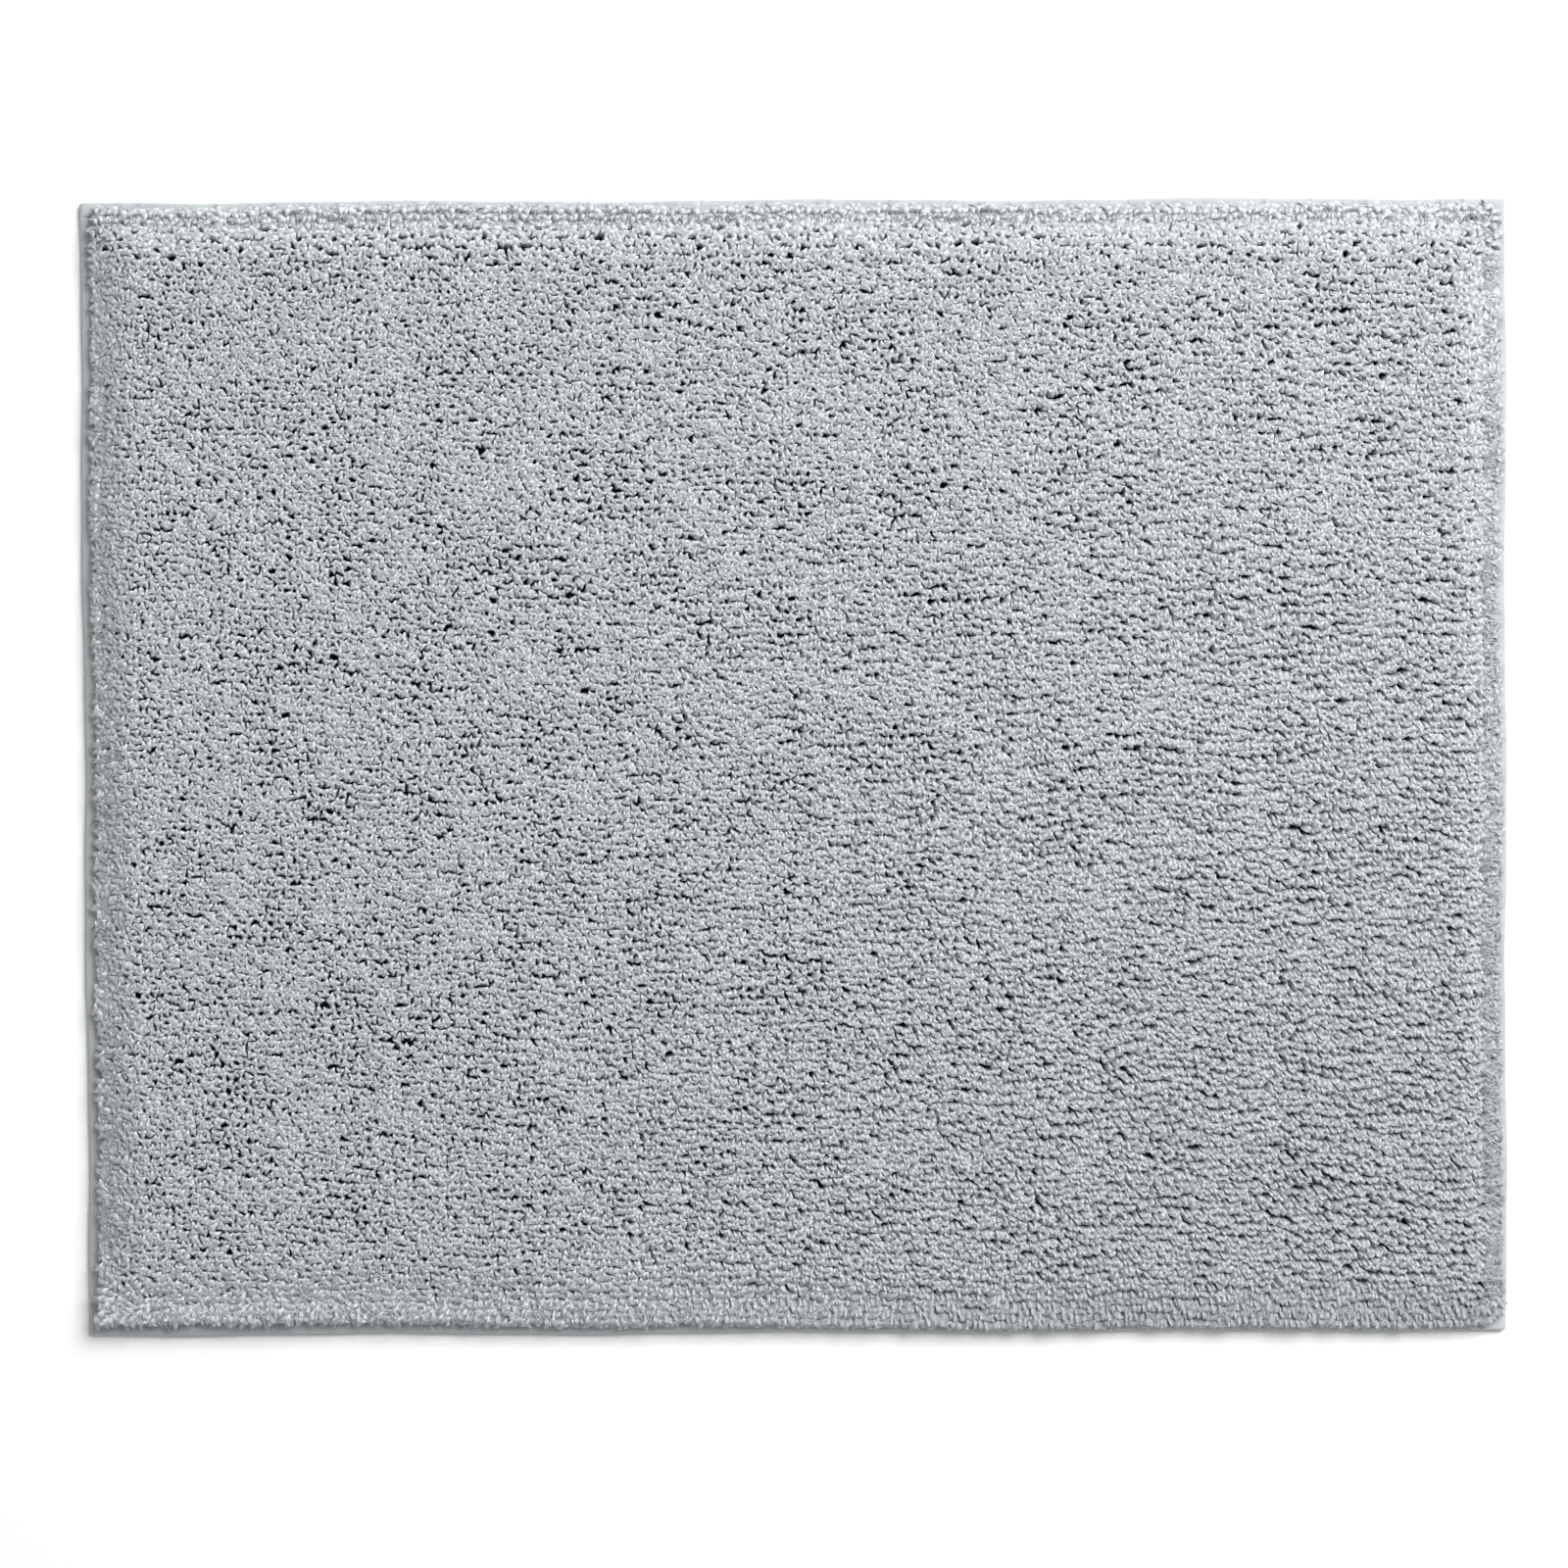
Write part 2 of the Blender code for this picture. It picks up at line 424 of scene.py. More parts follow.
def grown(name, tree, **values):
    """Runs a geometry tree and keeps what it makes as a plain mesh."""
    holder = bpy.data.objects.new(name, bpy.data.meshes.new(name + "_seed"))
    bpy.context.scene.collection.objects.link(holder)
    modifier = holder.modifiers.new("Grow", "NODES")
    modifier.node_group = tree.tree
    for socket in tree.tree.interface.items_tree:
        if socket.in_out == "INPUT":
            modifier[socket.identifier] = values[socket.name]
    bpy.context.view_layer.update()
    evaluated = holder.evaluated_get(bpy.context.evaluated_depsgraph_get())
    mesh = bpy.data.meshes.new_from_object(evaluated)
    holder.modifiers.clear()
    holder.data = mesh
    mesh.name = name
    return holder


# The yarn's colour darkens from tip to root: painted shade deep in the pile, between the legs.
YARN_ROOT_PAINTED_SHADE = (0.28, 0.30, 0.31, 1.0)
YARN_MIDDLE_PAINTED_SHADE = (0.43, 0.458, 0.474, 1.0)
YARN_TIP = (0.70, 0.745, 0.77, 1.0)
MIDDLE_RISE = (0.30, 0.85)  # the heights between which the root's colour gives way to the middle's
TIP_RISE = (0.82, 0.99)  # and the middle's to the tip's
CLUMP_RISE = 0.12  # how far those heights stray from clump to clump
CLUMP_SCALE = 420.0  # cells to the metre
SPECK_SCALE = 1150.0
FIBRES_ROUND = 22.0  # fibres on a leg's own map, round the leg and along it
FIBRES_ALONG = 4.0
FIBRE_SHIFT = 90.0  # how far the fibres' pattern moves with a leg's tint
DARK_LEG, TINT_RANGE = 0.90, 0.12  # the shade of the darkest leg, and how much lighter the lightest is
MOTTLE = 0.8  # how strongly the fibres and the specks show
# Painted shade in the grooves between plies and in the middle of each cut end.
GROOVE_PAINTED_SHADE = 0.56  # how much darker a groove between two plies is
YARN_RELIEF = 0.0006

yarn_finish, tree, shader = cloth_material("pile_yarn_fibres", roughness=0.92, sheen=0.25)
where = tree.place()
height = tree.attribute("height", "Fac")
tint = tree.attribute("tint", "Fac")
groove = tree.attribute("groove", "Fac")
u, v, _ = tree.parts(tree.attribute("leg_map", "Vector"))
fibres = tree.noise(tree.vector(u * FIBRES_ROUND, v * FIBRES_ALONG, tint * FIBRE_SHIFT), 1.0)
clumps = tree.noise(where, CLUMP_SCALE, 1.0)
# Painted shade by height: the root colour low on a leg, the middle colour above it, the tip colour at the cut
# end.
rise = height + (clumps - 0.5) * CLUMP_RISE
painted_depth_shade = tree.mix(rise.ramp(*MIDDLE_RISE), YARN_ROOT_PAINTED_SHADE, YARN_MIDDLE_PAINTED_SHADE)
colour = tree.mix(rise.ramp(*TIP_RISE), painted_depth_shade, YARN_TIP)
specks = tree.noise(where, SPECK_SCALE, 1.0)
shade = DARK_LEG + tint * TINT_RANGE + (fibres - 0.5) * MOTTLE + (specks - 0.5) * MOTTLE
# The grooves get their painted shade here.
colour = colour.scaled(shade * (1 - groove * GROOVE_PAINTED_SHADE))
drive(tree, shader, base_color=colour, normal=tree.bump(fibres + clumps, YARN_RELIEF))

# Leans are in radians: the first number is to the right, the second to the back.
BRUSHED = (0.50, -0.46)  # the way the whole pile was last brushed, strongest towards the front right
BRUSH_CURVE = 0.7  # how that grows from the left side to the right
BRUSH_AT_BACK = 0.45  # as a share of the brushing at the front
BACK_BRUSH = (0.07, 0.1)  # how wide the band along the back edge is, and what it keeps of the brushing
LEFT_SPLAY = 0.27
RIGHT_SPLAY = 0.60
BACK_SPLAY = 0.85
FRONT_SPLAY = (0.35, 0.62)  # at the left end and at the right end
FRONT_CHANGE = (0.5, 0.4)  # where that changes, as shares of the mat's half to the left and to the right
FRONT_REACH = 1.5  # how much further in the splay begins at the front
SPLAY_REACH = 0.024  # how far in from the outermost legs the splay begins
SPLAY_CURVE = 1.5  # how fast it grows towards them
UNRULY = (0.3, 0.7, 0.75, 1.2)  # from a low to a high swirl, and what each makes of the splay
MOST_LEAN = 1.3
EDGE_DROP = 0.52  # how much lower the outermost legs stand
FRONT_DROP, CORNER_DROP, BACK_DROP = 0.35, 0.12, 0.17  # what they get back of that, to reach over the tape
EDGE_FULLNESS = 0.45  # how much fuller the splayed legs are, which fills the room between them
BACK_FULLNESS = 0.11  # how much fuller the legs are at the back right
CORNER_SPLAY = 0.30  # how much further the legs fan out at the front left corner
BARE_CORNER = 0.0030  # how much of two corners holds no leg
ROW_WANDER = 0.015  # how far whole stretches of rows are drawn aside
CALM_RIM = 0.05  # how far in from the edges they are drawn less
ROOT_SHIFT = (0.0006, 0.0009)  # how far a needle hole strays from its place, along its row and across
SWIRL = 0.16  # how far large patches lean aside
WAVE = 0.06  # and smaller patches
TANGLE = 0.035  # and a few legs together
STRAY_LEAN = 0.045  # and a single leg
GATHER = 0.070  # how far the legs lean together into ridges
RIDGE = 0.0066  # from ridge to ridge
RIDGE_WANDER = 0.034
RIDGES_EVERYWHERE, RIDGES_AT_BACK_RIGHT = 0.2, 0.45  # beside what the brushing adds
RIDGE_BREAKS = (0.35, 0.6, 0.4, 1.0)  # from a low to a high tangle, and what each leaves of a ridge

# How fine each of these is, in cells to the metre.
ROW_WANDER_SCALE = 20.0
SWIRL_SCALE = 16.0
WAVE_SCALE = 40.0
TANGLE_SCALE = 120.0
RIDGE_SCALE = 26.0

bands = sorted(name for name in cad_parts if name.startswith("tuft_rows"))
pile_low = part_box(bands[0])[0]
pile_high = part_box(bands[-1])[1]
ROW_PITCH = (pile_high.y - pile_low.y) / ROWS
ROW_RUN = pile_high.x - pile_low.x

tufting = Tree(bpy.data.node_groups.new("tufting", "GeometryNodeTree"))
given = interface(
    tufting,
    Leg="Object",
    Rows="Int",
    Stitches="Int",
    Middle="Float",
    Pitch="Float",
    Stitch="Float",
    Length="Float",
    Radius="Float",
    Seed="Int",
)
legs_across = given["Rows"] * 2
canvas = tufting.node(
    "GeometryNodeMeshGrid",
    None,
    {
        "Size X": (given["Stitches"] - 1) * given["Stitch"],
        "Size Y": (legs_across - 1) * given["Pitch"] * 0.5,
        "Vertices X": given["Stitches"],
        "Vertices Y": legs_across,
    },
)
index = tufting.node("GeometryNodeInputIndex")
place = tufting.node("GeometryNodeInputPosition")
in_column = index % legs_across
HASH = (12.9898, 371.0, 437.58)  # numbers with no pattern, which draw where each line of legs starts
line_start = ((in_column * HASH[0] + given["Middle"] * HASH[1]).apply("SINE") * HASH[2]) % 1.0
seed = given["Seed"]
shift = tufting.vector(
    (line_start - 0.5) * given["Stitch"] + chance(tufting, -ROOT_SHIFT[0], ROOT_SHIFT[0], seed),
    given["Middle"] + chance(tufting, -ROOT_SHIFT[1], ROOT_SHIFT[1], seed + 1),
    0.0,
)
rooted = tufting.node("GeometryNodeSetPosition", None, {"Geometry": canvas, "Offset": shift})
px, py, _ = tufting.parts(place)
half_run = ROW_RUN / 2
half_width = pile_high.y
from_side = half_run - px.apply("ABSOLUTE")
from_edge = half_width - py.apply("ABSOLUTE")
inside = from_edge.apply("MINIMUM", from_side).ramp(0.0, CALM_RIM)
wander_x, wander_y, _ = tufting.parts(tufting.noise(place, ROW_WANDER_SCALE, 2.0, "Color"))
drawn_x, drawn_y = ((wander - 0.5) * inside * ROW_WANDER for wander in (wander_x, wander_y))
drawn = tufting.vector(drawn_x, drawn_y, 0.0)
rooted = tufting.node("GeometryNodeSetPosition", None, {"Geometry": rooted, "Offset": drawn})

# Two corners of the tape stay bare: the back left and the front right, where x and y have unlike signs.
in_corner = from_side.apply("MAXIMUM", from_edge).apply("LESS_THAN", BARE_CORNER)
bare = in_corner * (px * py).apply("LESS_THAN", 0.0)
rooted = tufting.node(
    "GeometryNodeDeleteGeometry", {"domain": "POINT"}, {"Geometry": rooted, "Selection": bare}
)

# The lean of each leg, from where its root is.
rightness = px.ramp(-half_run, half_run)
frontness = py.ramp(half_width, -half_width)
back_right = rightness * (1 - frontness)
drift_x, drift_y, drift_z = tufting.parts(tufting.noise(place, SWIRL_SCALE, 2.0, "Color"))
knot_x, knot_y, knot_z = tufting.parts(tufting.noise(place, TANGLE_SCALE, 2.0, "Color"))
wave_x, wave_y, _ = tufting.parts(tufting.noise(place, WAVE_SCALE, 1.0, "Color"))
to_back = (half_width - py).ramp(0.0, SPLAY_REACH, 1.0, 0.0) ** SPLAY_CURVE
brushed = rightness ** BRUSH_CURVE * (frontness * (1 - BRUSH_AT_BACK) + BRUSH_AT_BACK)
brushed = brushed * (half_width - py).ramp(0.0, BACK_BRUSH[0], BACK_BRUSH[1], 1.0)
lean_x = brushed * BRUSHED[0] + (drift_x - 0.5) * (2 * SWIRL) + (knot_x - 0.5) * (2 * TANGLE)
lean_y = brushed * BRUSHED[1] + (drift_y - 0.5) * (2 * SWIRL) + (knot_y - 0.5) * (2 * TANGLE)
lean_x = lean_x + (wave_x - 0.5) * (2 * WAVE)
lean_y = lean_y + (wave_y - 0.5) * (2 * WAVE)
ridge_shift = (tufting.noise(place, RIDGE_SCALE) - 0.5) * RIDGE_WANDER
ridged = ((py + ridge_shift) * (2 * math.pi / RIDGE)).apply("SINE") * knot_z.ramp(*RIDGE_BREAKS)
lean_y = lean_y - ridged * (brushed + RIDGES_EVERYWHERE + back_right * RIDGES_AT_BACK_RIGHT) * GATHER
lean_x = lean_x + chance(tufting, -STRAY_LEAN, STRAY_LEAN, seed + 2)
lean_y = lean_y + chance(tufting, -STRAY_LEAN, STRAY_LEAN, seed + 3)

unruly = drift_z.ramp(*UNRULY)
to_left = (px + half_run).ramp(0.0, SPLAY_REACH, 1.0, 0.0) ** SPLAY_CURVE
to_right = (half_run - px).ramp(0.0, SPLAY_REACH, 1.0, 0.0) ** SPLAY_CURVE
to_front = (py + half_width).ramp(0.0, SPLAY_REACH * FRONT_REACH, 1.0, 0.0) ** SPLAY_CURVE
front_splay = px.ramp(-half_run * FRONT_CHANGE[0], half_run * FRONT_CHANGE[1], *FRONT_SPLAY)
corner = (to_left * to_front) ** 0.5
fanned = corner * CORNER_SPLAY
lean_x = lean_x + (to_right * RIGHT_SPLAY - to_left * LEFT_SPLAY - fanned * drift_z) * unruly
lean_y = lean_y + (to_back * BACK_SPLAY - to_front * front_splay - fanned * knot_x) * unruly

lean = tufting.vector(lean_x, lean_y, 0.0)
steepness = tufting.node("ShaderNodeVectorMath", {"operation": "LENGTH"}, {0: lean}, "Value")
angle = steepness.apply("MINIMUM", MOST_LEAN)
heading = tufting.node("ShaderNodeVectorMath", {"operation": "NORMALIZE"}, {0: lean})
edge = (to_left.apply("MAXIMUM", to_right)).apply("MAXIMUM", to_front).apply("MAXIMUM", to_back)
drop = EDGE_DROP - front_splay * to_front * FRONT_DROP - corner * CORNER_DROP - to_back * BACK_DROP
length = given["Length"] * chance(tufting, *LENGTH_SPREAD, seed + 4) * (1 - edge * drop)
radius = given["Radius"] * chance(tufting, *RADIUS_SPREAD, seed + 5) * (1 + BLOOM - brushed * brushed * BLOOM)
radius = radius * (1 + edge ** 0.5 * EDGE_FULLNESS + back_right * BACK_FULLNESS)

legs = (
    ("root", "FLOAT_VECTOR", place),
    ("heading", "FLOAT_VECTOR", heading),
    ("lean_angle", "FLOAT", angle),
    ("leg_length", "FLOAT", length),
    ("leg_radius", "FLOAT", radius),
    ("turned", "FLOAT", chance(tufting, 0.0, 2 * math.pi, seed + 6)),
    ("tint", "FLOAT", chance(tufting, 0.0, 1.0, seed + 7)),
    ("cell", "FLOAT_VECTOR", square_on_map(tufting, index, given["Stitches"] * legs_across)),
)
geometry = planted(tufting, rooted, given["Leg"], legs)

# Each leg stands a unit high on its root. It is twisted, given its real size and bent over along its heading.
TWIST = 2.6  # radians from root to tip
ROOT_BEND = 0.45  # what a leg's root already has of its whole lean
TIP_FACING = 0.65  # how much further the cut end turns than the root
BURST = 0.0018  # how far the loose fibres swell or sink the cut end
BURST_SCALE = 620.0
UPWARDS = (0.0, 0.0, 1.0)

root = stored(tufting, "root", "FLOAT_VECTOR")
local_x, local_y, height = tufting.parts(place - root)
section = tufting.node(
    "ShaderNodeVectorRotate",
    {"rotation_type": "Z_AXIS"},
    {
        "Vector": tufting.vector(local_x, local_y, 0.0).scaled(stored(tufting, "leg_radius", "FLOAT")),
        "Angle": stored(tufting, "turned", "FLOAT") + height * TWIST,
    },
)
heading = stored(tufting, "heading", "FLOAT_VECTOR")
angle = stored(tufting, "lean_angle", "FLOAT")
bent = angle * (ROOT_BEND + height * (1 - ROOT_BEND))
facing = angle * (ROOT_BEND + height * TIP_FACING)
axis = tufting.node("ShaderNodeVectorMath", {"operation": "CROSS_PRODUCT"}, {0: UPWARDS, 1: heading})
section = tufting.node(
    "ShaderNodeVectorRotate",
    {"rotation_type": "AXIS_ANGLE"},
    {"Vector": section, "Axis": axis, "Angle": facing},
)
along = height * stored(tufting, "leg_length", "FLOAT")
centre = heading.scaled(along * bent.apply("SINE")) + tufting.vector(0.0, 0.0, along * bent.apply("COSINE"))
stands = root + section + centre + tufting.vector(0.0, 0.0, pile_low.z)
geometry = store(tufting, geometry, "height", "FLOAT", height)
geometry = tufting.node("GeometryNodeSetPosition", None, {"Geometry": geometry, "Position": stands})
swell = tufting.noise(place, BURST_SCALE, 1.0, "Color") - tufting.vector(0.5, 0.5, 0.5)
swell = swell.scaled(stored(tufting, "height", "FLOAT").ramp(0.3, 0.9) * BURST)
geometry = tufting.node("GeometryNodeSetPosition", None, {"Geometry": geometry, "Offset": swell})
give_out(tufting, mapped(tufting, geometry), yarn_finish)

leg = yarn_leg("yarn_leg", LEG_SIDES, LEG_RINGS, LEG_TIP, PLY_GROOVE, PLY_VALLEY, LEG_MAP_ROWS)
first_rows = [band * ROWS // len(bands) for band in range(len(bands) + 1)]
shares = [piece * len(bands) // PIECES for piece in range(PIECES + 1)]
for first_band, after_band in zip(shares, shares[1:]):
    first, after = first_rows[first_band], first_rows[after_band]
    piece = grown(
        f"pile_rows_{first + 1:02d}_{after:02d}",
        tufting,
        Leg=leg,
        Rows=after - first,
        Stitches=math.floor(ROW_RUN / STITCH),
        Middle=pile_low.y + (first + after) / 2 * ROW_PITCH,
        Pitch=ROW_PITCH,
        Stitch=STITCH,
        Length=LEG_LENGTH,
        Radius=LEG_RADIUS,
        Seed=first * 10,
    )
    finish_piece(piece, yarn_finish, "pile_yarn", *bands[first_band:after_band])
bpy.data.objects.remove(leg)


# Latex coat. Sprayed on the back of the cloth and cured, it locks the tufts and grips the floor. The back
# stitch of every row shows through it as a rib, with a skin like orange peel.
RIB_HEIGHT = 0.0004
LATEX_CELL = 0.010  # the spacing of its mesh along the rows
LATEX_PALE = (0.60, 0.62, 0.62, 1.0)
LATEX_DEEP = (0.46, 0.48, 0.485, 1.0)
PEEL_SCALE = 900.0
LATEX_RELIEF = 0.0007
SAG = 0.0001  # half of how far the coat's thickness drifts
SAG_WAVES = (31.0, 23.0)  # how quickly it does, along and across

latex_finish, tree, shader = cloth_material("latex_coat_skin", roughness=0.62, sheen=0.0)
where = tree.place()
x, y, _ = tree.parts(where)
odd_rib = (y / ROW_PITCH).apply("FLOOR") % 2
stitch = ((x / STITCH + odd_rib * 0.5) * math.pi).apply("SINE").apply("ABSOLUTE")
rib = (y * (math.pi / ROW_PITCH)).apply("SINE").apply("ABSOLUTE")
peel = tree.noise(where, PEEL_SCALE, 3.0)
drive(
    tree,
    shader,
    base_color=tree.mix(rib * 0.5 + peel * 0.7 + stitch * 0.2 - 0.2, LATEX_DEEP, LATEX_PALE),
    normal=tree.bump(rib * stitch * 0.8 + peel * 0.4, LATEX_RELIEF),
)


def latex_underside(x, y):
    ribs = RIB_HEIGHT * (0.5 + 0.5 * np.cos(y * (2 * math.pi / ROW_PITCH)))
    return ribs + SAG * (1 + np.sin(x * SAG_WAVES[0] + 2.0 * np.sin(y * SAG_WAVES[1])))


low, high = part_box("latex_coat")
latex_coat = woven_slab(
    "latex_back", low, high, round((high.x - low.x) / LATEX_CELL) + 1, 2 * ROWS + 1, latex_underside
)
finish_piece(latex_coat, latex_finish, "latex_coat", "latex_coat")


# Binding tape. A woven cotton tape is folded over each side of the mat and sewn down. The front and back
# tapes run right across, with their ends tucked in, and the side tapes end against them.
TAPE_THICKNESS = 0.0006
TAPE_STATION = 0.0020  # the spacing of the sections along a tape
TAPE_TUCK = 0.0013  # how far from its end a tape starts to close
TUCKED_IN = 0.0009  # how far a tucked end draws in from the edge
TUCKED_OPEN = 0.12  # how much of the tape's height the tucked end keeps
TAPE_STRIPS = 12  # a tape's own map is cut in this many strips
STRIP_MARGIN = 0.04  # of a strip's height
STRIP_START, STRIP_RUN = 0.01, 0.94  # where a strip starts on the map and how long it is
FOLD_STEPS = 7
LEG_SPLITS = (0.0, 0.12, 0.45, 0.75)  # where a leg of the section is divided, from its cut edge to the fold
PUCKER = 0.00012  # how far the seam pulls the tape in at each stitch
SEAM_PITCH = 0.0030
TAPE_CLIMB = 0.0018  # the upper leg climbs this much towards the pile, over the foot of the outermost legs
CLIMB_RUN = 0.012  # how much of a tape, at either end, it takes to reach that height
SLACK = 0.00030  # how far the upper leg stands off between the stitches
EDGE_WAVE = 0.00018  # how far the tape runs in and out
CUT_WAVE = 0.0003  # and how much more its cut edge does
CUT_FROM = 0.95  # where the cut edge starts, as a share of the leg from the fold inwards
TAPE_WAVES = (71.0, 97.0, 53.0)  # how quickly the slack, the edge and the cut edge change along a tape
TAPE_CREASE = math.radians(65)
TAPE_DARK = (0.40, 0.43, 0.44, 1.0)
TAPE_LIGHT = (0.66, 0.70, 0.72, 1.0)
TWILL_PITCH = 0.0011
TAPE_YARN = 0.00042
LINT_SCALE = 700.0
CLOUD_SCALE = 60.0  # of the broad uneven dye
TAPE_RELIEF = 0.0004

tape_finish, tree, shader = cloth_material("binding_tape_twill", roughness=0.85, sheen=0.25)
u, v, _ = tree.parts(tree.attribute("tape_map", "Vector"))
where = tree.place()
twill = (((u + v) * (math.pi / TWILL_PITCH)).apply("SINE")).apply("ABSOLUTE")
picks = (u * (2 * math.pi / TAPE_YARN)).apply("SINE") * 0.5 + 0.5
lint = tree.noise(where, LINT_SCALE, 3.0)
cloud = tree.noise(where, CLOUD_SCALE)
drive(
    tree,
    shader,
    base_color=tree.mix(twill * 0.28 + picks * 0.12 + lint * 0.45 + cloud * 0.35, TAPE_DARK, TAPE_LIGHT),
    normal=tree.bump(twill + picks * 0.3 + lint * 0.8, TAPE_RELIEF),
)


def tape_section(cut_edge, edge, bottom, top):
    """The tape's closed outline, as distances out and heights: over the top, round the fold, back below."""
    middle = (bottom + top) / 2
    outer = (top - bottom) / 2
    turns = [math.pi / 2 - math.pi * step / FOLD_STEPS for step in range(FOLD_STEPS + 1)]
    leg = [cut_edge + (edge - outer - cut_edge) * share for share in LEG_SPLITS]

    def side_of(radius):
        fold = [(edge - outer + radius * math.cos(a), middle + radius * math.sin(a)) for a in turns]
        over = [(out, middle + radius) for out in leg]
        return over + fold + [(out, middle - radius) for out in reversed(leg)]

    return side_of(outer) + list(reversed(side_of(outer - TAPE_THICKNESS)))


def binding_tape(name, node, outward, run_start, run_end, tucked):
    """A tape along one side. outward is the side's direction, and tucked says whether its ends are closed."""
    low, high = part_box(node)
    across = 0 if outward[0] else 1
    sign = outward[across]
    edge, cut_edge = (high[across], low[across]) if sign > 0 else (-low[across], -high[across])
    section = np.array(tape_section(cut_edge, edge, low.z, high.z))
    middle = (low.z + high.z) / 2
    upper = section[:, 1] > middle
    inward = np.clip((edge - section[:, 0]) / (edge - cut_edge), 0.0, 1.0)
    flat_end = edge - cut_edge if tucked else 0.0  # nothing stands under the tape at the corners
    count = math.ceil((run_end - run_start) / TAPE_STATION / TAPE_STRIPS) * TAPE_STRIPS + 1
    runs = np.linspace(run_start, run_end, count)
    sides = np.linalg.norm(np.diff(section, axis=0, append=section[:1]), axis=1)
    girth = np.concatenate([[0.0], np.cumsum(sides)])
    shape = bmesh.new()
    map_layer = shape.loops.layers.uv.new("tape_map")
    bake_layer = shape.loops.layers.uv.new("OFBake")
    rings = []
    for run in runs:
        from_end = min(run - run_start, run_end - run)
        closing = 1.0
        if tucked and from_end < TAPE_TUCK:
            closing = max(math.sqrt(1 - (1 - from_end / TAPE_TUCK) ** 2), TUCKED_OPEN)
        climbed = min(max(from_end - flat_end, 0.0) / CLIMB_RUN, 1.0)
        lift = SLACK * (1 + np.sin(run * TAPE_WAVES[0] + 1.3 * sign + across)) * upper * np.sqrt(inward)
        lift = lift + TAPE_CLIMB * upper * inward * climbed
        pull = PUCKER * (0.5 + 0.5 * np.cos(run * 2 * math.pi / SEAM_PITCH)) * np.where(upper, -1, 1)
        heights = middle + (section[:, 1] - middle + pull * (inward > 0.5)) * closing + lift
        outs = section[:, 0] - (1 - closing) * TUCKED_IN + EDGE_WAVE * np.sin(run * TAPE_WAVES[1] + sign)
        outs = outs + CUT_WAVE * np.sin(run * TAPE_WAVES[2]) * (inward > CUT_FROM)
        ring = []
        for out, height in zip(outs, heights):
            spot = (sign * out, run) if across == 0 else (run, sign * out)
            ring.append(shape.verts.new((*spot, height)))
        rings.append(ring)
    points = len(section)
    forwards = (sign > 0) != (across == 0)  # the order of corners that faces outwards
    per_strip = (count - 1) // TAPE_STRIPS
    for station in range(count - 1):
        strip, step = divmod(station, per_strip)
        for point in range(points):
            after = (point + 1) % points
            ring, ahead = rings[station], rings[station + 1]
            corners = [(ring[point], 0, 0), (ahead[point], 1, 0), (ahead[after], 1, 1), (ring[after], 0, 1)]
            if not forwards:
                corners.reverse()
            made = shape.faces.new([corner[0] for corner in corners])
            for loop, (_, ahead_by, over_by) in zip(made.loops, corners):
                round_by = girth[point + over_by]
                loop[map_layer].uv = (runs[station + ahead_by], round_by)
                loop[bake_layer].uv = (
                    STRIP_START + STRIP_RUN * (step + ahead_by) / per_strip,
                    (strip + STRIP_MARGIN + (1 - 2 * STRIP_MARGIN) * round_by / girth[-1]) / TAPE_STRIPS,
                )
    for ring, facing in ((rings[0], forwards), (rings[-1], not forwards)):
        for point in range(points // 2 - 1):
            corners = [ring[point], ring[point + 1], ring[points - 2 - point], ring[points - 1 - point]]
            made = shape.faces.new(corners if facing else list(reversed(corners)))
            for loop in made.loops:
                loop[map_layer].uv = (0.0, 0.0)
                loop[bake_layer].uv = (0.5, 0.5 / TAPE_STRIPS)  # borrows the colour of the tape's own map
    mesh = bpy.data.meshes.new(name)
    shape.to_mesh(mesh)
    shape.free()
    mesh.shade_smooth()
    mesh.set_sharp_from_angle(angle=TAPE_CREASE)
    tape = bpy.data.objects.new(name, mesh)
    bpy.context.scene.collection.objects.link(tape)
    return finish_piece(tape, tape_finish, "binding_tape", node)


low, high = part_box("binding_tape_front")
side_low, side_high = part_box("binding_tape_left")
tapes = [
    binding_tape("front_tape", "binding_tape_front", (0, -1), low.x, high.x, True),
    binding_tape("back_tape", "binding_tape_back", (0, 1), low.x, high.x, True),
    binding_tape("left_tape", "binding_tape_left", (-1, 0), side_low.y, side_high.y, False),
    binding_tape("right_tape", "binding_tape_right", (1, 0), side_low.y, side_high.y, False),
]


# Seam. One polyester lockstitch seam holds the tape round the whole rim, with the needle thread in short
# dashes on top and the bobbin thread below. Loose fibres of the outermost yarns lie combed out over it.
RIM_X = cad_box[1][0]
RIM_Y = cad_box[1][1]
ON_SIDE = -0.99  # beyond this share of a half, a point lies on that side's line
THIN_FRONT = (-0.6, 0.2)  # where the front's fibres start to thin out and where they are thinnest, in halves
THIN_LEFT = 0.85  # how much of that thinning the left side has
SPAN_SPREAD = (0.9, 1.1)  # as shares of the length
STRAY_CURVE = 4  # how few of the threads reach far
FIBRE_HEIGHT = 0.95  # where on a leg, for its colour, a loose fibre starts

